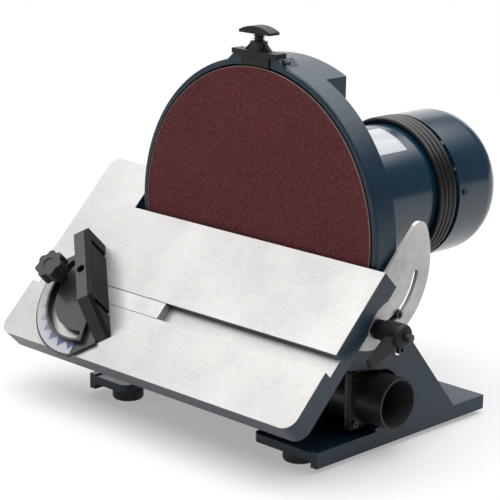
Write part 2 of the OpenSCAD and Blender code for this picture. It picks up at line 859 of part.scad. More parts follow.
module stator_core() color(steel) about_axis(stator_y) difference() {
    tube(bell_r - seat_gap, stator_bore, stator_len);
    for (a = [0 : 360 / slot_count : 359]) rotate([0, 0, a]) translate([0, -slot_half, -over])
        cube([slot_r, 2 * slot_half, stator_len + 2 * over]);
}

module stator_windings() color(copper) for (y = [stator_y - winding_len, stator_y + stator_len]) about_axis(y) rotate_extrude()
    rounded_box_2d(winding_r_in, 0, winding_r_out, winding_len, winding_edge);

module bearing() {
    tube(bearing_r, bearing_r - bearing_race, bearing_t);
    tube(shaft_r + run_fit + bearing_race, shaft_r + run_fit, bearing_t);
    translate([0, 0, bearing_t / 3]) tube(bearing_r - bearing_race, shaft_r + run_fit + bearing_race, bearing_t / 3);
}

module front_bearing() color(zinc) about_axis(hood_back + bell_hub_len - bearing_t) bearing();
module rear_bearing() color(zinc) about_axis(barrel_back - bell_hub_len) bearing();

module cup_profile(r, len, f) intersection() {
    union() {
        square([r - f, len]);
        square([r, len - f]);
        translate([r - f, len - f]) circle(f);
    }
    square([r, len]);
}

module fan_cover() color(paint) difference() {
    about_axis(cover_y) rotate_extrude() cup_profile(cover_r, cover_len, cover_fillet);
    about_axis(cover_y - over) rotate_extrude()
        cup_profile(cover_r - cover_wall, cover_len - cover_wall + over, cover_fillet - cover_wall);
    about_axis(cover_y + cover_screw_y) cover_lugs() rotate([0, 90, 0]) cylinder(d = cover_screw_d, h = cover_r + over);
    for (k = [0 : len(vent_counts) - 1], a = [0 : 360 / vent_counts[k] : 359])
        about_axis(cover_y + cover_len - 2 * cover_wall) rotate([0, 0, a])
            translate([vent_ring_shares[k] * (cover_r - cover_fillet), 0, 0]) cylinder(d = vent_d, h = 3 * cover_wall);
}

module cover_screws() color(steel) about_axis(cover_y + cover_screw_y) cover_lugs() translate([cover_r, 0, 0]) rotate([0, 90, 0])
    pan_screw(cover_screw_d, cover_screw_len, cover_screw_head_d, cover_screw_head_h);

module data_plate() color(bare) about_axis(label_y) rotate([0, 0, -label_start - label_sweep]) rotate_extrude(angle = label_sweep)
    translate([barrel_r + seat_gap, 0]) square([label_t, label_len]);

// Spinning parts
module motor_shaft() color(steel) about_axis(plate_back)
    cylinder(r = shaft_r, h = cover_y + fan_len + fan_back - plate_back);

module rotor_core() color(steel) about_axis(stator_y) tube(stator_bore - rotor_gap, shaft_r, stator_len);

module fan_outline() {
    circle(fan_hub_r);
    for (a = [0 : 360 / fan_blades : 359]) rotate(a) translate([shaft_r, -fan_blade_t / 2])
        square([fan_r - shaft_r - over, fan_blade_t]);
}

module cooling_fan() color(black) about_axis(cover_y + fan_back) difference() {
    union() {
        cylinder(r = fan_r, h = fan_blade_t);
        translate([0, 0, fan_blade_t / 2]) linear_extrude(fan_len - fan_blade_t / 2) fan_outline();
    }
    translate([0, 0, -over]) cylinder(r = shaft_r, h = fan_len + 2 * over);
}

module disc_plate() color(bare) difference() {
    union() {
        about_axis(plate_y) cylinder(r = plate_r, h = plate_t, $fn = 180);
        about_axis(plate_back) cylinder(r = hub_r, h = hub_len);
    }
    about_axis(plate_back) cylinder(r = shaft_r, h = hub_len + over);
    translate([0, plate_back + hub_len / 2, axis_h]) cylinder(d = hub_screw_d, h = hub_r + over);
}

module sanding_disc() color([0.4, 0.2, 0.2]) about_axis(face_y) cylinder(r = disc_r, h = abrasive_t, $fn = 180);

module hub_screw() color(steel) translate([0, plate_back + hub_len / 2, axis_h + shaft_r])
    cylinder(d = hub_screw_d, h = hub_r - shaft_r);

// Switch box
lid_x = box_x0 - lid_t;
switch_mid_y = box_y + switch_y;
switch_mid_z = box_z + box_h / 2;
module lid_corners() for (y = [box_y + lid_screw_inset, box_y + box_len - lid_screw_inset],
    z = [box_z + lid_screw_inset, box_z + box_h - lid_screw_inset]) translate([lid_x, y, z]) rotate([0, -90, 0]) children();

module switch_box() color(black) difference() {
    block([box_x0, box_y, box_z], [box_x1, box_y + box_len, box_z + box_h]);
    about_axis(box_y - over) cylinder(r = barrel_r, h = box_len + 2 * over);
    difference() {
        block([box_x0 - over, box_y + box_wall, box_z + box_wall],
            [box_x1 - box_wall, box_y + box_len - box_wall, box_z + box_h - box_wall]);
        about_axis(box_y - over) cylinder(r = barrel_r + box_wall, h = box_len + 2 * over);
        lid_corners() translate([-post_w / 2, -post_w / 2, -lid_t - post_len]) cube([post_w, post_w, post_len]);
    }
    lid_corners() translate([0, 0, -lid_screw_len]) cylinder(d = lid_screw_d, h = lid_screw_len);
    translate([-cord_path_r, gland_y, box_z - over]) cylinder(r = gland_stub_r, h = box_wall + 2 * over);
}

module switch_lid() color(black) difference() {
    block([lid_x, box_y, box_z], [box_x0, box_y + box_len, box_z + box_h]);
    translate([lid_x - over, switch_mid_y - switch_w / 2, switch_mid_z - switch_h / 2])
        cube([lid_t + 2 * over, switch_w, switch_h]);
    lid_corners() translate([0, 0, -lid_t - over]) cylinder(d = lid_screw_d, h = lid_t + 2 * over);
}

module lid_screws() color(steel) lid_corners() pan_screw(lid_screw_d, lid_screw_len, lid_screw_head_d, lid_screw_head_h);

module run_capacitor() color(zinc) translate([cap_x, box_y + box_len - cap_end, box_z + box_wall + cap_r]) rotate([90, 0, 0])
    cylinder(r = cap_r, h = cap_len);

module at_switch() translate([lid_x, switch_mid_y, switch_mid_z]) children();

module power_switch() color(black) at_switch() difference() {
    union() {
        translate([0, -switch_w / 2, -switch_h / 2]) cube([switch_depth, switch_w, switch_h]);
        translate([-switch_lip_t, -switch_w / 2 - switch_lip, -switch_h / 2 - switch_lip])
            cube([switch_lip_t, switch_w + 2 * switch_lip, switch_h + 2 * switch_lip]);
    }
    translate([-switch_lip_t - over, -rocker_w / 2 - rocker_side_gap, -rocker_h / 2 - rocker_end_gap])
        cube([switch_lip_t + over + rocker_well, rocker_w + 2 * rocker_side_gap, rocker_h + 2 * rocker_end_gap]);
    translate([0, -switch_w / 2 - over, 0]) rotate([-90, 0, 0]) cylinder(r = rocker_pin_r + run_fit, h = switch_w + 2 * over);
}

module switch_rocker() color(black) at_switch() {
    pin = rocker_w + 2 * rocker_pin_len;
    rotate([0, -rocker_deg, 0]) translate([0, rocker_w / 2, 0]) rotate([90, 0, 0]) linear_extrude(rocker_w) polygon([
        [rocker_back, rocker_taper - rocker_h / 2], [-rocker_end, -rocker_h / 2], [-rocker_mid, 0],
        [-rocker_end, rocker_h / 2], [rocker_back, rocker_h / 2 - rocker_taper]
    ]);
    translate([0, -pin / 2, 0]) rotate([-90, 0, 0]) cylinder(r = rocker_pin_r, h = pin);
}

// Cord: gland, winding, plug
function ease(u) = u < 0 ? 0 : u > 1 ? 1 : u * u * (3 - 2 * u);
function wind(t) = [-cord_path_r * cos(360 * t),
    cord_y + cord_pitch * t - cord_lead * (1 - ease(t / cord_lead_turns)), axis_h - cord_path_r * sin(360 * t)];
cord_end = wind(cord_turns);
cord_path = concat(
    [[-cord_path_r, gland_y, gland_z]],
    [for (i = [0 : cord_turns * cord_steps]) wind(i / cord_steps)],
    [for (i = [1 : cord_tail_steps]) cord_end - [0, 0, cord_tail * i / cord_tail_steps]]
);
cord_span = [for (i = [0 : len(cord_path) - 1], j = [i + cord_steps / 2 : 1 : len(cord_path) - 1])
    norm(cord_path[i] - cord_path[j])];
echo(cord_least_gap = min(cord_span) - cord_d);

module cord_gland() color(black) translate([-cord_path_r, gland_y, 0]) {
    translate([0, 0, box_z - gland_collar_h]) cylinder(r = gland_collar_r, h = gland_collar_h);
    translate([0, 0, box_z - over]) cylinder(r = gland_stub_r, h = gland_stub);
    translate([0, 0, gland_z]) cylinder(r1 = gland_tip_r, r2 = gland_root_r, h = box_z - gland_collar_h - gland_z);
}

module power_cord() color(black) swept(cord_path, cord_r, cord_sides, [0, 1, 0]);

plug_z = axis_h - cord_tail;
module power_plug() color(black) translate([cord_end[0], cord_end[1], plug_z]) {
    translate([0, 0, -plug_neck]) cylinder(r1 = plug_neck_r, r2 = plug_tip_r, h = plug_neck);
    translate([0, 0, -plug_neck - plug_len]) linear_extrude(plug_len)
        rounded_box_2d(-plug_w / 2, -plug_d / 2, plug_w / 2, plug_d / 2, plug_corner);
}

module plug_pins() color(zinc) translate([cord_end[0], cord_end[1], plug_z - plug_neck - plug_len - pin_len]) {
    for (y = [-1, 1]) translate([-pin_w / 2, y * pin_gap / 2 - pin_t / 2, 0]) cube([pin_w, pin_t, pin_len]);
    translate([-pin_earth_off, 0, 0]) cylinder(d = pin_earth_d, h = pin_len);
}

// Table
module table_outline(in) {
    rounded_box_2d(in - table_left, in - table_depth, table_right - in, -in, corner_r - in);
    translate([table_right - in - 2 * corner_r, -in - 2 * corner_r]) square(2 * corner_r);
    rounded_box_2d(in - table_left, -ear_reach, -ear_inner - in, ear_reach - in, ear_corner_r - in);
}

module table_top() color(bare) on_table() difference() {
    union() {
        translate([0, 0, -table_t]) linear_extrude(table_t) table_outline(0);
        translate([0, 0, -skirt_h]) linear_extrude(skirt_h) difference() {
            table_outline(0);
            table_outline(skirt_t);
            translate([-ear_inner, -2 * skirt_t]) square([ear_inner + table_right - skirt_t, 3 * skirt_t]);
        }
        block([-table_left + skirt_t, -slot_s - slot_w / 2 - slot_floor, -slot_depth - slot_floor],
            [table_right - skirt_t, -slot_s + slot_w / 2 + slot_floor, -slot_depth]);
        for (x = rib_x) block([x - rib_t / 2, skirt_t / 2 - table_depth, -rib_h], [x + rib_t / 2, -rib_front, -table_t]);
    }
    block([-table_left - over, -slot_s - slot_w / 2, -slot_depth], [table_right + over, -slot_s + slot_w / 2, over]);
    translate([-ear_inner, 0, 0]) rotate([90, 0, 90]) linear_extrude(ear_inner + table_right - skirt_t)
        polygon([[0, 0], [over, 0], [over, -skirt_h], [-table_t - over, -table_t - over]]);
    along_x(table_right - arch_in, -arch_s, arch_depth - skirt_h - arch_r) cylinder(r = arch_r, h = 2 * arch_in);
    both_sides() rim_screw_seats() translate([0, 0, -rim_hole_len]) cylinder(d = rim_screw_d, h = rim_hole_len + rim_t);
}

// Trunnions
tip_s = sqrt(pow(trunnion_r - tip_fillet, 2) - pow(table_t + tip_fillet, 2));
tip_n = -table_t - tip_fillet;
tip_out = trunnion_r / (trunnion_r - tip_fillet);
module rim_screw_seats() for (s = rim_screw_places)
    translate([trunnion_x - rim_screw_in, -s, -table_t - rim_t]) rotate([180, 0, 0]) children();

module arc_slot() {
    start = arc_from_deg - tilt;
    end = guide_deg - tilt + tilt_range;
    intersection() {
        difference() {
            circle(arc_r + arc_w / 2);
            circle(arc_r - arc_w / 2);
        }
        polygon(concat([[0, 0]], [for (a = [start, (start + end) / 2, end]) 2 * arc_r * [cos(a), sin(a)]]));
    }
    for (a = [start, end]) translate(arc_r * [cos(a), sin(a)]) circle(d = arc_w);
}

module trunnion_outline() difference() {
    union() {
        difference() {
            circle(trunnion_r);
            translate([-trunnion_r, -table_t]) square(2 * trunnion_r);
            for (k = [-1, 1]) polygon([[k * tip_s, -table_t + over], [k * trunnion_r, -table_t + over],
                [k * trunnion_r, tip_n * tip_out], [k * tip_s * tip_out, tip_n * tip_out], [k * tip_s, tip_n]]);
        }
        for (k = [-1, 1]) translate([k * tip_s, tip_n]) circle(tip_fillet);
    }
    arc_slot();
}

module trunnion() on_table() difference() {
    union() {
        side_plate(trunnion_x, trunnion_t) trunnion_outline();
        block([trunnion_x - rim_w, -rim_front, -table_t - rim_t], [trunnion_x + over, -rim_back, -table_t]);
    }
    rim_screw_seats() translate([0, 0, -rim_t - over]) cylinder(d = rim_screw_d, h = rim_t + 2 * over);
}

module trunnion_right() color(zinc) trunnion();
module trunnion_left() color(zinc) mirror([1, 0, 0]) trunnion();

module trunnion_screws() color(steel) on_table() both_sides() rim_screw_seats()
    cap_screw(rim_screw_d, rim_screw_len, rim_screw_head_d, rim_screw_head_h, rim_screw_d / 2, rim_screw_head_h / 2);

module spacer() translate([0, 0, wall_t]) cylinder(d = spacer_d, h = trunnion_gap - pass_gap);

module guide_screws() color(steel) both_sides() along_x(wall_in, guide_y, guide_z) {
    reach = collar_x - wall_in;
    spacer();
    translate([0, 0, reach]) cap_screw(stud_d, reach, guide_head_d, guide_head_h, guide_key_d, guide_key_depth);
}

module lock_studs() color(steel) both_sides() along_x(wall_in, lock_y, lock_z) {
    spacer();
    cylinder(d = stud_d, h = lever_x + lever_hub_len + lever_nut_gap + lever_nut_h - lever_stud_in - wall_in);
}

// Locks
module lever_collar() along_x(collar_x, lock_y, lock_z) difference() {
    cylinder(r = collar_r, h = collar_len);
    translate([0, 0, -over]) cylinder(r = stud_d / 2 + run_fit, h = collar_len + 2 * over);
    for (a = [0 : 360 / collar_flutes : 359]) rotate([0, 0, a]) translate([collar_r, 0, -over])
        cylinder(r = flute_r, h = collar_len + 2 * over, $fn = 12);
}

module lock_lever(drop) along_x(lever_x, lock_y, lock_z) difference() {
    union() {
        rotate_extrude() cup_profile(lever_hub_r, lever_hub_len, lever_dome);
        rotate([0, 0, drop]) intersection() {
            linear_extrude(lever_hub_len) polygon([[-lever_root_h, 0], [lever_root_h, 0],
                [lever_tip_h, lever_tip_cut - lever_len], [lever_tip_h - lever_tip_cut, -lever_len],
                [lever_tip_cut - lever_tip_h, -lever_len], [-lever_tip_h, lever_tip_cut - lever_len]]);
            side_plate(-lever_root_h - over, 2 * (lever_root_h + over)) polygon([[over, lever_arm_out - lever_root_t],
                [over, lever_arm_out], [-lever_len - over, lever_arm_out], [-lever_len - over, lever_arm_out - lever_tip_t]]);
        }
    }
    translate([0, 0, -over]) cylinder(r = stud_d / 2 + run_fit, h = lever_hub_len + 2 * over);
}

module lever_collar_right() color(black) lever_collar();
module lever_collar_left() color(black) mirror([1, 0, 0]) lever_collar();
module lock_lever_right() color(black) lock_lever(lever_right_deg);
module lock_lever_left() color(black) mirror([1, 0, 0]) lock_lever(lever_left_deg);

module lever_nuts() color(zinc) both_sides() along_x(lever_x + lever_hub_len + lever_nut_gap, lock_y, lock_z) difference() {
    cylinder(d = lever_nut_d, h = lever_nut_h);
    translate([0, 0, -over]) cylinder(d = stud_d, h = lever_nut_h - lever_stud_in + over);
}

// Mitre gauge
module mitre_bar() color(zinc) on_table() difference() {
    block([bar_right - bar_len, -slot_s - bar_w / 2, slide_gap - slot_depth],
        [bar_right, -slot_s + bar_w / 2, slide_gap - slot_depth + bar_h]);
    for (x = [-mitre_left, -mitre_left - head_slot_r]) translate([x, -slot_s, -mitre_pin_low])
        cylinder(r = mitre_pin_r, h = slot_depth);
}

module mitre_pivot() color(steel) on_head() translate([0, 0, -mitre_pin_low]) cylinder(r = mitre_pin_r, h = mitre_pin_low + mitre_pin_top);

knob_z = head_lift + head_deck_t + pass_gap;
module mitre_stud() color(steel) on_stud() translate([0, 0, -mitre_pin_low])
    cylinder(r = mitre_stud_r, h = mitre_pin_low + knob_z + knob_collar_h + knob_h - knob_wall - seat_gap);

module behind_fence() translate([-2 * head_r, -head_r]) square([2 * head_r - fence_back + over, 2 * head_r]);
module head_sector(half) polygon(concat([[0, 0]], [for (k = [-1, 0, 1]) 2 * head_r * [-cos(k * half), sin(k * half)]]));
module head_slot() {
    intersection() {
        difference() {
            circle(head_slot_r + head_slot_w / 2);
            circle(head_slot_r - head_slot_w / 2);
        }
        head_sector(head_slot_deg);
    }
    for (k = [-1, 1]) translate(head_slot_r * [-cos(k * head_slot_deg), sin(k * head_slot_deg)]) circle(d = head_slot_w);
}
module fence_slab(p0, p1) translate([p0, 0, head_lift]) rotate([90, 0, 90]) linear_extrude(p1 - p0)
    polygon([[-fence_down, 0], [fence_up, 0], [fence_up, fence_h], [-fence_top_down, fence_h]]);

module mitre_head() color(bare) on_head() difference() {
    union() {
        translate([0, 0, head_lift]) linear_extrude(head_base_t) intersection() {
            circle(head_r);
            behind_fence();
            translate([-2 * head_r, -head_half]) square([2 * head_r, 2 * head_half]);
        }
        translate([0, 0, head_lift]) linear_extrude(head_deck_t) intersection() {
            circle(head_deck_r);
            behind_fence();
            head_sector(head_deck_deg);
        }
        fence_slab(-fence_back, fence_mid);
        block([-fence_back, -mitre_boss_half, head_lift], [mitre_boss_p, mitre_boss_half, mitre_boss_h]);
    }
    translate([0, 0, -over]) linear_extrude(head_deck_t + 3 * over) head_slot();
    translate([0, 0, -over]) cylinder(r = mitre_pin_r + run_fit, h = mitre_bore_top + over);
    translate([fence_hole_p, fence_hole_f, head_lift + fence_h - fence_hole_depth]) cylinder(r = fence_hole_r, h = fence_h);
}

module mitre_face() color(black) on_head() difference() {
    fence_slab(fence_mid, fence_front);
    block([-fence_back, -mitre_boss_half - seat_gap, 0], [mitre_boss_p + seat_gap, mitre_boss_half + seat_gap, mitre_boss_h + seat_gap]);
    for (f = groove_f) block([fence_front - groove_d, f - groove_w / 2, 0],
        [fence_front + over, f + groove_w / 2, head_lift + fence_h - groove_drop]);
}

module mitre_scale() color(bare) on_head() translate([0, 0, head_lift + head_base_t]) linear_extrude(scale_t) intersection() {
    difference() {
        circle(head_r - scale_inset);
        circle(head_deck_r);
    }
    head_sector(scale_deg);
}

module knob_outline() {
    circle(knob_r);
    for (a = [0 : 360 / knob_lobes : 359]) rotate(a + knob_turn) translate([knob_lobe_at, 0]) circle(knob_lobe_r);
}

module mitre_knob() color(black) on_stud() translate([0, 0, knob_z]) difference() {
    union() {
        cylinder(r = knob_collar_r, h = knob_collar_h + over);
        translate([0, 0, knob_collar_h]) linear_extrude(knob_h) knob_outline();
    }
    translate([0, 0, -over]) cylinder(r = mitre_stud_r + run_fit, h = knob_collar_h + knob_h - knob_wall + over);
    translate([0, 0, knob_collar_h + knob_h - knob_recess]) cylinder(r = knob_recess_r, h = knob_recess + over);
}

base_casting();
rubber_feet();
disc_housing();
housing_bolts();
bolt_washers();
dust_duct();
dust_port();
port_screws();
brake_bracket();
brake_screws();
brake_side_screw();
brake_spring();
brake_plunger();
brake_shoe();
motor_barrel();
front_bell();
rear_bell();
motor_bolts();
stator_core();
stator_windings();
front_bearing();
rear_bearing();
fan_cover();
cover_screws();
data_plate();
motor_shaft();
rotor_core();
cooling_fan();
disc_plate();
sanding_disc();
hub_screw();
switch_box();
switch_lid();
lid_screws();
run_capacitor();
power_switch();
switch_rocker();
cord_gland();
power_cord();
power_plug();
plug_pins();
table_top();
trunnion_right();
trunnion_left();
trunnion_screws();
guide_screws();
lock_studs();
lock_lever_right();
lock_lever_left();
lever_collar_right();
lever_collar_left();
lever_nuts();
mitre_bar();
mitre_pivot();
mitre_stud();
mitre_head();
mitre_face();
mitre_scale();
mitre_knob();
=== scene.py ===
import math

import bpy
import numpy as np
from mathutils import Matrix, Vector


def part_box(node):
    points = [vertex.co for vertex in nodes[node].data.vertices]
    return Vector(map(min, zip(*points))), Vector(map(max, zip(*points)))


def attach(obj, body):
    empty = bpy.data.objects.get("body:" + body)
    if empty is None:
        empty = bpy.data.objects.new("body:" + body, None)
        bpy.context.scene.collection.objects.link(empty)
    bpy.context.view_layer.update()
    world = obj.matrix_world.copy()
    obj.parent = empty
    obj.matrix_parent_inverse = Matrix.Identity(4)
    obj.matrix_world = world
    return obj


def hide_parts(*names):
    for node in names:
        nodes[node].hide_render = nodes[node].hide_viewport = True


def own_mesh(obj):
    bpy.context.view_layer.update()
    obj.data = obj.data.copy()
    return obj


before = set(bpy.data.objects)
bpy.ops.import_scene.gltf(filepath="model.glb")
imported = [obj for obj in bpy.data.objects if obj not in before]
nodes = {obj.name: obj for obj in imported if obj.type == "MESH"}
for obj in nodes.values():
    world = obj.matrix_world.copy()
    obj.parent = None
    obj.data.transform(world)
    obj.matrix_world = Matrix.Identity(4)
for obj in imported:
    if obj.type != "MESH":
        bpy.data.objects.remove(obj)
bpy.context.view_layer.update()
print("frame loaded,", len(nodes), "nodes")

mm = 0.001
layout = dict(axisZ=200 * mm, pivotY=-52 * mm, pivotZ=184 * mm, tilt=math.radians(45), slotAt=101.5 * mm,
              slotWidth=19 * mm, slotDepth=9 * mm, mitreX=-138 * mm, mitreTurn=math.radians(42))
upSlope = np.array([0, math.cos(layout["tilt"]), math.sin(layout["tilt"])])
offTable = np.array([0, -math.sin(layout["tilt"]), math.cos(layout["tilt"])])
pivot = np.array([0, layout["pivotY"], layout["pivotZ"]])

# sizes that the finishes follow, with angles in degrees, and how deep the grain of each one is
# slot facts include the depth and width of the painted shade on the slot walls, and the width of the painted
# shade along the bar's edges
slotFacts = dict(skin=0.45 * mm, room=0.3 * mm, shadeFrom=0.7 * mm, shadeWidth=0.25 * mm, barShadeWidth=0.75 * mm)
gritFacts = dict(edgeFrom=151.5 * mm, edgeTo=152.1 * mm)
scaleFacts = dict(step=13.2, phase=100.62, inner=62.9 * mm, outer=72.6 * mm, fadeFrom=-40, fadeTo=15)
portFacts = dict(centreY=-36 * mm, centreZ=54 * mm, bore=23.4 * mm)
relief = dict(cord=0.05 * mm, casting=0.25 * mm, motor=0.12 * mm, table=0.12 * mm, grit=0.5 * mm,
              brush=0.05 * mm, moulding=0.12 * mm)


# the camera stands where the photograph was taken from
camera = dict(place=(1.2708, -1.3464, 0.6526), look=(-0.6769, 0.6899, -0.2565), roll=0.83,
              lens=137.36, sensor=36)


def aimCamera(c):
    data = bpy.data.cameras.new("camera")
    data.lens = c["lens"]
    data.sensor_width = c["sensor"]
    data.sensor_fit = "HORIZONTAL"
    eye = bpy.data.objects.new("camera", data)
    bpy.context.scene.collection.objects.link(eye)
    ahead = np.array(c["look"]) / np.linalg.norm(c["look"])
    right = np.cross(ahead, [0, 0, 1])
    right /= np.linalg.norm(right)
    up = np.cross(right, ahead)
    a = math.radians(c["roll"])
    right, up = right * math.cos(a) + up * math.sin(a), up * math.cos(a) - right * math.sin(a)
    stand = np.eye(4)
    stand[:3, :] = np.column_stack([right, up, -ahead, c["place"]])
    eye.matrix_world = Matrix(stand.tolist())
    bpy.context.scene.camera = eye


aimCamera(camera)
print("camera placed")


# a shader value: arithmetic on it adds Math nodes to its finish
class Val:
    def __init__(self, finish, socket):
        self.finish = finish
        self.socket = socket

    def op(self, kind, *others):
        return self.finish.add("ShaderNodeMath", {"operation": kind}, [self, *others])

    def __add__(self, other):
        return self.op("ADD", other)

    def __mul__(self, other):
        return self.op("MULTIPLY", other)

    def __sub__(self, other):
        return self.op("SUBTRACT", other)

    def __rsub__(self, other):
        return self.finish.add("ShaderNodeMath", {"operation": "SUBTRACT"}, [other, self])

    def __truediv__(self, other):
        return self.op("DIVIDE", other)

    def __gt__(self, other):
        return self.op("GREATER_THAN", other)

    def __lt__(self, other):
        return self.op("LESS_THAN", other)

    def __abs__(self):
        return self.op("ABSOLUTE")

    __rmul__ = __mul__


# a finish: one material and the shader nodes that make it
class Finish:
    def __init__(self, name):
        self.material = bpy.data.materials.new(name)
        self.material.use_nodes = True
        self.tree = self.material.node_tree
        self.tree.nodes.clear()

    def add(self, kind, settings=None, sockets=(), out=0):
        node = self.tree.nodes.new(kind)
        for key, value in (settings or {}).items():
            setattr(node, key, value)
        pairs = sockets.items() if isinstance(sockets, dict) else enumerate(sockets)
        for key, value in pairs:
            if isinstance(value, Val):
                self.tree.links.new(value.socket, node.inputs[key])
            else:
                node.inputs[key].default_value = value
        return Val(self, node.outputs[out])

    def place(self):
        return self.add("ShaderNodeTexCoord", out="Object")

    def along(self, direction, start=0.0):       # distance along a direction from a starting distance
        pair = [self.place(), tuple(direction)]
        ahead = self.add("ShaderNodeVectorMath", {"operation": "DOT_PRODUCT"}, pair, "Value")
        return ahead - float(start)

    def noise(self, scale, detail=4.0, rough=0.55, stretch=(1, 1, 1), turn=(0, 0, 0)):
        at = self.add("ShaderNodeMapping", {}, {0: self.place(), 2: turn, 3: stretch})
        sockets = {"Vector": at, "Scale": scale, "Detail": detail, "Roughness": rough}
        return self.add("ShaderNodeTexNoise", {}, sockets)

    def spread(self, value, low, high, toLow=0.0, toHigh=1.0):
        return self.add("ShaderNodeMapRange", {"clamp": True}, [value, low, high, toLow, toHigh])

    def mix(self, share, first, second):
        first, second = (c if isinstance(c, Val) else (*c, 1) for c in (first, second))
        return self.add("ShaderNodeMix", {"data_type": "RGBA"}, {0: share, 6: first, 7: second}, 2)

    def bump(self, height, depth, strength=1.0):
        return self.add("ShaderNodeBump", {}, {"Strength": strength, "Distance": depth, "Height": height})

    def shade(self, **sockets):
        named = {key.replace("_", " "): value for key, value in sockets.items()}
        named = {k: ((*v, 1) if isinstance(v, tuple) and len(v) == 3 else v) for k, v in named.items()}
        return self.wear(self.add("ShaderNodeBsdfPrincipled", {}, named))

    def wear(self, surface):
        end = self.tree.nodes.new("ShaderNodeOutputMaterial")
        self.tree.links.new(surface.socket, end.inputs[0])
        return self.material


# cord: the route of the winding, then a round tube carried along it
cordFacts = dict(radius=3.1 * mm, ringRadius=74.7 * mm, startY=148.3 * mm, pitch=6.65 * mm, turns=4,
                 lead=26 * mm, leadTurns=0.3, tail=50 * mm, tailPoints=12, pointsPerTurn=60,
                 sides=18)


def cordRoute(c):                                 # a helix about the motor axis, straight at both ends
    t = np.linspace(0, c["turns"], c["turns"] * c["pointsPerTurn"] + 1)
    u = np.clip(t / c["leadTurns"], 0, 1)
    ease = u * u * (3 - 2 * u)
    helix = np.column_stack([-c["ringRadius"] * np.cos(2 * np.pi * t),
                             c["startY"] + c["pitch"] * t - c["lead"] * (1 - ease),
                             layout["axisZ"] - c["ringRadius"] * np.sin(2 * np.pi * t)])
    start = helix[0] + np.array([[0, 0, 2 * c["radius"]], [0, 0, c["radius"]]])
    drop = np.linspace(0, c["tail"], c["tailPoints"])[1:, None]
    return np.vstack([start, helix, helix[-1] + drop * [0, 0, -1]])


def tube(path, radius, sides, upright):           # circles square to the path, one ring to a point
    ahead = np.gradient(path, axis=0)
    ahead /= np.linalg.norm(ahead, axis=1)[:, None]
    side = np.cross(upright, ahead)
    side /= np.linalg.norm(side, axis=1)[:, None]
    other = np.cross(ahead, side)
    a = np.linspace(0, 2 * np.pi, sides, endpoint=False)
    across = np.cos(a)[None, :, None] * side[:, None]
    along = np.sin(a)[None, :, None] * other[:, None]
    return path[:, None] + radius * (across + along)


# a grid of points as one mesh: each ring is closed, and both ends are capped
def gridPiece(name, rings, material, body):
    rows, sides = rings.shape[:2]
    mesh = bpy.data.meshes.new(name)
    i, k = np.meshgrid(np.arange(rows - 1), np.arange(sides), indexing="ij")
    n = (k + 1) % sides
    corners = [i * sides + k, i * sides + n, (i + 1) * sides + n, (i + 1) * sides + k]
    faces = np.stack(corners, -1).reshape(-1, 4).tolist()
    faces += [list(range(sides))[::-1], [(rows - 1) * sides + j for j in range(sides)]]
    mesh.from_pydata(rings.reshape(-1, 3).tolist(), [], faces)
    mesh.polygons.foreach_set("use_smooth", np.ones(len(mesh.polygons), bool))
    mesh.materials.append(material)
    piece = bpy.data.objects.new(name, mesh)
    bpy.context.scene.collection.objects.link(piece)
    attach(piece, body)
    return piece


def cordJacket():
    f = Finish("cordJacket")
    grain = f.noise(900, 3)
    return f.shade(Base_Color=f.mix(grain, (0.004, 0.004, 0.004), (0.0085, 0.0083, 0.008)),
                   Roughness=f.spread(grain, 0.3, 0.7, 0.26, 0.36), Normal=f.bump(grain, relief["cord"], 0.3),
                   Specular_IOR_Level=0.36)


route = cordRoute(cordFacts)
cordRings = tube(route, cordFacts["radius"], cordFacts["sides"], (0, 1, 0))
cordPiece = gridPiece("mainsCord", cordRings, cordJacket(), "frame")
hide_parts("power_cord")


# finishes
paint = dict(deep=(0.0012, 0.0132, 0.0275), pale=(0.0022, 0.0178, 0.0365),
             motorDeep=(0.0026, 0.0172, 0.034), motorPale=(0.004, 0.0226, 0.0445))


def castingEnamel():                              # sprayed enamel on cast iron
    f = Finish("castingEnamel")
    cloud = f.noise(14, 5)
    skin = f.noise(420, 3, 0.5)
    tone = f.spread(cloud * 0.6 + skin * 0.4, 0.38, 0.62)
    return f.shade(Base_Color=f.mix(tone, paint["deep"], paint["pale"]),
                   Roughness=f.spread(cloud * 0.4 + skin * 0.6, 0.36, 0.64, 0.29, 0.46),
                   Normal=f.bump(skin + 0.6 * f.noise(90, 2), relief["casting"], 0.3),
                   Specular_IOR_Level=0.36, Coat_Weight=0.05, Coat_Roughness=0.22)


def motorEnamel():                                # smoother gloss enamel on pressed steel
    f = Finish("motorEnamel")
    cloud = f.noise(9, 4)
    skin = f.noise(260, 2, 0.5)
    return f.shade(Base_Color=f.mix(f.spread(cloud, 0.35, 0.65), paint["motorDeep"], paint["motorPale"]),
                   Roughness=f.spread(cloud, 0.3, 0.7, 0.16, 0.22),
                   Normal=f.bump(skin, relief["motor"], 0.08), Coat_Weight=0.08, Coat_Roughness=0.1)


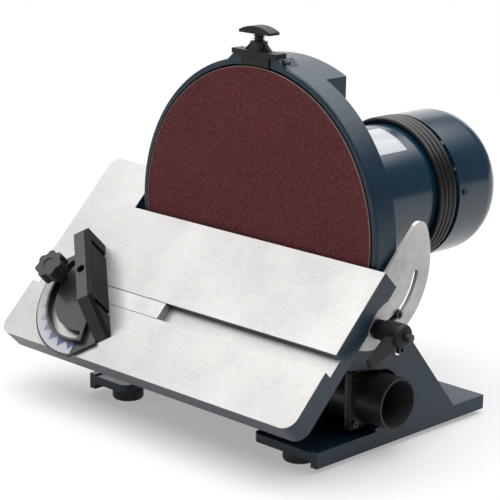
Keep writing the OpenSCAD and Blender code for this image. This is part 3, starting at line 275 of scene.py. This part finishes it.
def tableFinish():                                # ground top and slot with painted shade down the slot's side walls, enamel everywhere else
    f = Finish("tableFinish")
    depth = f.along(offTable, pivot @ offTable)
    down = f.along(-upSlope, -pivot @ upSlope)
    off = abs(down - layout["slotAt"])
    halfSlot = layout["slotWidth"] / 2
    slotFloor = -layout["slotDepth"] - slotFacts["room"]
    inSlot = (off < halfSlot + slotFacts["room"]) * (depth > slotFloor)
    bare = (depth > -slotFacts["skin"]).op("MAXIMUM", inSlot)
    # painted shade: below a small depth, the slot's side walls are darkened where the narrow gap beside the
    # bar lies in shadow
    slotWallShade = inSlot * (depth < -slotFacts["shadeFrom"]) * (off > halfSlot - slotFacts["shadeWidth"])
    lines = f.noise(60, 6, 0.7, (1.2, 40, 40), (-layout["tilt"], 0, 0))
    cross = f.noise(60, 4, 0.6, (30, 3, 3), (-layout["tilt"], 0, 0))
    stain = f.noise(11, 5, 0.6)
    speck = f.noise(700, 2, 0.5)
    tone = f.spread(stain * 0.4 + lines * 0.34 + speck * 0.26, 0.38, 0.62)
    ground = f.mix(tone, (0.315, 0.31, 0.303), (0.455, 0.45, 0.44))
    metal = f.mix(slotWallShade * 0.7, ground, (0.03, 0.03, 0.029))
    cloud = f.noise(14, 5)
    blue = f.mix(f.spread(cloud, 0.35, 0.65), paint["deep"], paint["pale"])
    scratch = f.noise(420, 3, 0.5) * (1 - bare) * 0.6 + (lines * 0.7 + cross * 0.3) * bare
    return f.shade(Base_Color=f.mix(bare, blue, metal), Metallic=bare * 0.75,
                   Roughness=f.spread(bare, 0, 1, 0.36, 0.46) + (lines - 0.5) * 0.14 * bare,
                   Normal=f.bump(scratch, relief["table"], 0.22))


def abrasiveFinish():                             # maroon grit with a pale cut edge
    f = Finish("abrasiveFinish")
    across = f.along((1, 0, 0))
    height = f.along((0, 0, 1), layout["axisZ"])
    radius = (across * across + height * height).op("SQRT")
    edge = f.spread(radius, gritFacts["edgeFrom"], gritFacts["edgeTo"])
    grit = f.noise(1300, 2, 0.7)
    coarse = f.noise(330, 3, 0.7)
    patch = f.noise(16, 4, 0.6)
    tone = f.spread(grit * 0.5 + coarse * 0.42 + patch * 0.08, 0.36, 0.66)
    brown = f.mix(tone, (0.026, 0.0066, 0.0072), (0.15, 0.038, 0.04))
    return f.shade(Base_Color=f.mix(edge, brown, (0.2, 0.15, 0.125)),
                   Roughness=f.spread(grit, 0.3, 0.7, 0.62, 0.86),
                   Normal=f.bump(grit + 0.6 * coarse, relief["grit"], 0.55), Specular_IOR_Level=0.12)


def plateSteel(name, low, high, rough, metallic=0.85):     # cut sheet, faintly brushed
    f = Finish(name)
    brush = f.noise(30, 5, 0.7, (60, 4, 4))
    stain = f.noise(25, 4)
    tone = f.spread(brush * 0.4 + stain * 0.6, 0.35, 0.65)
    return f.shade(Base_Color=f.mix(tone, low, high), Metallic=metallic,
                   Roughness=f.spread(tone, 0, 1, rough + 0.08, rough - 0.04),
                   Normal=f.bump(brush, relief["brush"], 0.2))


def barFinish():                                  # ground bar, with painted shade along its two upper edges
    f = Finish("barSteel")
    brush = f.noise(30, 5, 0.7, (2, 40, 40), (-layout["tilt"], 0, 0))
    tone = f.spread(brush * 0.5 + f.noise(25, 4) * 0.5, 0.35, 0.65)
    off = abs(f.along(-upSlope, -pivot @ upSlope) - layout["slotAt"])
    # painted shade: strips along the bar's edges are darkened where the gap to the slot wall lies in shadow
    edge = off > layout["slotWidth"] / 2 - slotFacts["barShadeWidth"]
    ground = f.mix(tone, (0.34, 0.34, 0.335), (0.46, 0.46, 0.453))
    return f.shade(Base_Color=f.mix(edge * 0.85, ground, (0.02, 0.02, 0.02)), Metallic=0.6,
                   Roughness=f.spread(tone, 0, 1, 0.5, 0.38), Normal=f.bump(brush, relief["brush"], 0.2))


# moulded plastic or rubber with a fine spark texture
def moulding(name, low, high, rough=0.48, grainScale=650, coat=0.0, gloss=0.5):
    f = Finish(name)
    grain = f.noise(grainScale, 2, 0.6)
    cloud = f.noise(35, 4)
    return f.shade(Base_Color=f.mix(f.spread(cloud * 0.6 + grain * 0.4, 0.35, 0.65), low, high),
                   Roughness=f.spread(cloud, 0.3, 0.7, rough - 0.05, rough + 0.07),
                   Normal=f.bump(grain, relief["moulding"], 0.35), Coat_Weight=coat, Specular_IOR_Level=gloss)


# white plate; blue triangles stand on its inner edge at even angles, paler towards the knob
def scaleFinish():
    f = Finish("scaleFinish")
    centre = pivot + np.array([layout["mitreX"], 0, 0]) - layout["slotAt"] * upSlope
    a = layout["mitreTurn"]
    towardWork = math.cos(a) * np.array([1, 0, 0]) + math.sin(a) * upSlope
    alongFence = math.cos(a) * upSlope - math.sin(a) * np.array([1, 0, 0])
    p = f.along(towardWork, centre @ towardWork)
    q = f.along(alongFence, centre @ alongFence)
    radius = (p * p + q * q).op("SQRT")
    angle = q.op("ARCTAN2", -1 * p) * (180 / math.pi)
    share = (angle / scaleFacts["step"] + scaleFacts["phase"]).op("FRACT")
    tooth = abs(share - 0.5) * 2
    reach = f.spread(radius, scaleFacts["inner"], scaleFacts["outer"])
    blue = (tooth + reach < 0.92) * (radius > scaleFacts["inner"])
    cloud = f.noise(60, 4)
    white = f.mix(cloud, (0.3, 0.304, 0.31), (0.37, 0.374, 0.38))
    ink = blue * f.spread(angle, scaleFacts["fadeFrom"], scaleFacts["fadeTo"], 1.0, 0.25)
    return f.shade(Base_Color=f.mix(ink, white, (0.03, 0.065, 0.2)),
                   Roughness=f.spread(cloud, 0.3, 0.7, 0.38, 0.5))


def portFinish():                                 # moulded tube, a shade paler down its mouth
    f = Finish("portMoulding")
    back = f.along((0, 1, 0), portFacts["centreY"])
    height = f.along((0, 0, 1), portFacts["centreZ"])
    inside = (back * back + height * height).op("SQRT") < portFacts["bore"]
    grain = f.noise(650, 2, 0.6)
    outer = f.mix(grain, (0.0035, 0.0035, 0.0037), (0.008, 0.008, 0.0083))
    inner = f.mix(grain, (0.022, 0.022, 0.0225), (0.034, 0.034, 0.035))
    return f.shade(Base_Color=f.mix(inside, outer, inner), Roughness=f.spread(grain, 0.3, 0.7, 0.4, 0.52),
                   Normal=f.bump(grain, relief["moulding"], 0.3), Specular_IOR_Level=0.34)


def copperFinish():
    f = Finish("windingCopper")
    strands = f.noise(90, 4, 0.6, (12, 1, 12))
    return f.shade(Base_Color=f.mix(strands, (0.36, 0.15, 0.07), (0.66, 0.33, 0.17)), Metallic=0.8,
                   Roughness=f.spread(strands, 0.3, 0.7, 0.3, 0.5))


def labelFinish():                                # bare satin plate
    f = Finish("bareLabel")
    cloud = f.noise(50, 4)
    return f.shade(Base_Color=f.mix(cloud, (0.29, 0.31, 0.33), (0.36, 0.375, 0.39)),
                   Roughness=f.spread(cloud, 0.3, 0.7, 0.32, 0.44), Coat_Weight=0.3)


finishes = dict(
    casting=castingEnamel(), motor=motorEnamel(), table=tableFinish(), grit=abrasiveFinish(),
    scale=scaleFinish(), label=labelFinish(), copper=copperFinish(),
    plate=plateSteel("trunnionSteel", (0.37, 0.37, 0.362), (0.53, 0.53, 0.52), 0.45, metallic=0.55),
    bar=barFinish(),
    bright=plateSteel("screwSteel", (0.42, 0.42, 0.43), (0.62, 0.62, 0.62), 0.3),
    alloy=plateSteel("castAlloy", (0.52, 0.52, 0.52), (0.7, 0.7, 0.7), 0.4),
    washer=plateSteel("washerZinc", (0.72, 0.72, 0.71), (0.88, 0.88, 0.87), 0.25),
    blackSteel=moulding("blackenedSteel", (0.004, 0.004, 0.0045), (0.01, 0.01, 0.0105), 0.34, 900),
    plastic=moulding("blackMoulding", (0.0035, 0.0035, 0.0037), (0.008, 0.008, 0.0083), 0.52, gloss=0.3),
    knob=moulding("knobMoulding", (0.01, 0.01, 0.0102), (0.018, 0.018, 0.0183), 0.46, gloss=0.42),
    facing=moulding("facingMoulding", (0.004, 0.004, 0.004), (0.0085, 0.0085, 0.0085), 0.6, gloss=0.14),
    port=portFinish(),
    grey=moulding("gaugeEnamel", (0.012, 0.012, 0.0124), (0.021, 0.021, 0.0214), 0.45, 420, 0.1, 0.35),
    duct=moulding("ductMoulding", (0.005, 0.005, 0.005), (0.011, 0.0108, 0.0105), 0.4),
    rubber=moulding("footRubber", (0.006, 0.006, 0.006), (0.013, 0.013, 0.0125), 0.6, 380))

wears = dict(
    casting="base_casting disc_housing", motor="motor_barrel fan_cover rear_bell", table="table_top",
    grit="sanding_disc", scale="mitre_scale", label="data_plate", copper="stator_windings",
    plate="trunnion_right trunnion_left", bar="mitre_bar",
    bright="motor_bolts stator_core front_bearing rear_bearing motor_shaft rotor_core hub_screw "
           "lid_screws mitre_pivot mitre_stud plug_pins",
    alloy="front_bell disc_plate run_capacitor", washer="bolt_washers",
    blackSteel="housing_bolts guide_screws lock_studs lever_nuts port_screws brake_screws "
               "brake_side_screw brake_spring cover_screws trunnion_screws",
    plastic="brake_bracket brake_plunger cooling_fan switch_box switch_lid power_switch switch_rocker "
            "lock_lever_right lock_lever_left lever_collar_right lever_collar_left",
    knob="mitre_knob", facing="mitre_face", port="dust_port", grey="mitre_head", duct="dust_duct",
    rubber="rubber_feet brake_shoe cord_gland power_cord power_plug")
for finish, names in wears.items():
    for name in names.split():
        nodes[name].data.materials.clear()
        nodes[name].data.materials.append(finishes[finish])
print("finishes set")


# brake spring: a helix in the height of its seat
springFacts = dict(wire=1 * mm, radius=5.2 * mm, turns=2, pointsPerTurn=40, sides=10,
                   travel=4.2 * mm, room=0.1 * mm)


def springRoute(c, low, high):                    # the angle grows evenly with the height
    t = np.linspace(0, c["turns"], c["turns"] * c["pointsPerTurn"] + 1)
    rise = high[2] - low[2] - c["wire"]
    return np.column_stack([(low[0] + high[0]) / 2 + c["radius"] * np.cos(2 * np.pi * t),
                            (low[1] + high[1]) / 2 + c["radius"] * np.sin(2 * np.pi * t),
                            low[2] + c["wire"] / 2 + rise * t / c["turns"]])


springLow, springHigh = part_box("brake_spring")
springLine = springRoute(springFacts, springLow, springHigh)
springRings = tube(springLine, springFacts["wire"] / 2, springFacts["sides"], (0, 0, 1))
springPiece = gridPiece("returnSpring", springRings, finishes["blackSteel"], "frame")
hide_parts("brake_spring")
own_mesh(springPiece)
print("spring wound")


# rounded edges, radii in mm: shared points are joined, then every sharp edge gets its radius
edges = dict(
    base_casting=2.0, disc_housing=1.2, table_top=0.7, trunnion_right=0.35, trunnion_left=0.35,
    dust_port=0.5, dust_duct=0.5, brake_bracket=0.5, brake_plunger=0.8, mitre_head=0.5, mitre_face=0.4,
    mitre_knob=1.2, mitre_bar=0.3, lock_lever_right=0.8, lock_lever_left=0.8, switch_box=1.2,
    switch_lid=0.6, power_switch=0.4, switch_rocker=0.5, fan_cover=0.4, power_plug=1.5,
    rubber_feet=0.8, housing_bolts=0.4, guide_screws=0.4, lever_nuts=0.5, cover_screws=0.3)
edgeFacts = dict(join=0.01 * mm, segments=2, sharp=math.radians(32), weight=80)


def softenEdges(name, radius):
    piece = nodes[name]
    join = piece.modifiers.new("join", "WELD")
    join.merge_threshold = edgeFacts["join"]
    soft = piece.modifiers.new("soft", "BEVEL")
    soft.width = radius * mm
    soft.segments = edgeFacts["segments"]
    soft.limit_method = "ANGLE"
    soft.angle_limit = edgeFacts["sharp"]
    even = piece.modifiers.new("even", "WEIGHTED_NORMAL")
    even.weight = edgeFacts["weight"]
    even.keep_sharp = True
    piece.data.polygons.foreach_set("use_smooth", np.ones(len(piece.data.polygons), bool))


for name, radius in edges.items():
    softenEdges(name, radius)
print("edges softened")


# studio: a pale floor that turns white with distance, a dim world and four lamps
studio = dict(floor=(0.6, 0.6, 0.6), glow=0.36, nearFloor=0.7, farFloor=2.0, floorSize=90, world=0.18,
              lamps=[
                  dict(name="overhead", at=(-0.8, 0.4, 3.0), aim=(-0.8, 0.4, 0), size=(6.0, 6.0), power=380),
                  dict(name="leftBox", at=(-2.0, -1.7, 1.5), aim=(0, -0.05, 0.15), size=(1.8, 1.4), power=10),
                  dict(name="rightBox", at=(2.2, 0.2, 1.0), aim=(0, 0, 0.15), size=(1.2, 1.2), power=2),
                  dict(name="backdrop", at=(-3.0, 3.1, 1.35), aim=(0, 0, 0.6), size=(5.0, 2.4), power=42)])


def setStudio(s):
    mesh = bpy.data.meshes.new("floor")
    r = s["floorSize"] / 2
    mesh.from_pydata([(-r, -r, 0), (r, -r, 0), (r, r, 0), (-r, r, 0)], [], [(0, 1, 2, 3)])
    f = Finish("paleFloor")
    rays = ("Is Camera Ray", "Is Glossy Ray", "Is Transmission Ray")
    seen = [f.add("ShaderNodeLightPath", out=ray) for ray in rays]
    across = f.along((1, 0, 0))
    onward = f.along((0, 1, 0))
    distance = (across * across + onward * onward).op("SQRT")
    white = f.spread(distance, s["nearFloor"], s["farFloor"], s["glow"], 1.0)
    share = (seen[0] + seen[1] + seen[2]).op("MINIMUM", 1.0) * white
    cloth = f.add("ShaderNodeBsdfDiffuse", {}, {"Color": (*s["floor"], 1)})
    glow = f.add("ShaderNodeEmission", {}, {"Strength": 1.0})
    mesh.materials.append(f.wear(f.add("ShaderNodeMixShader", {}, [share, cloth, glow])))
    floor = bpy.data.objects.new("floor", mesh)
    bpy.context.scene.collection.objects.link(floor)
    world = bpy.data.worlds.new("studio")
    world.use_nodes = True
    world.node_tree.nodes["Background"].inputs[0].default_value = (1, 1, 1, 1)
    world.node_tree.nodes["Background"].inputs[1].default_value = s["world"]
    bpy.context.scene.world = world
    for lamp in s["lamps"]:
        data = bpy.data.lights.new(lamp["name"], "AREA")
        data.shape = "RECTANGLE"
        data.size, data.size_y = lamp["size"]
        data.energy = lamp["power"]
        box = bpy.data.objects.new(lamp["name"], data)
        bpy.context.scene.collection.objects.link(box)
        back = np.array(lamp["at"]) - np.array(lamp["aim"])
        back /= np.linalg.norm(back)
        right = np.cross([0, 1, 0] if abs(back[2]) > 0.95 else [0, 0, 1], back)
        right /= np.linalg.norm(right)
        stand = np.eye(4)
        stand[:3, :] = np.column_stack([right, np.cross(back, right), back, lamp["at"]])
        box.matrix_world = Matrix(stand.tolist())


setStudio(studio)
bpy.context.scene.view_settings.view_transform = "Standard"
print("studio set")
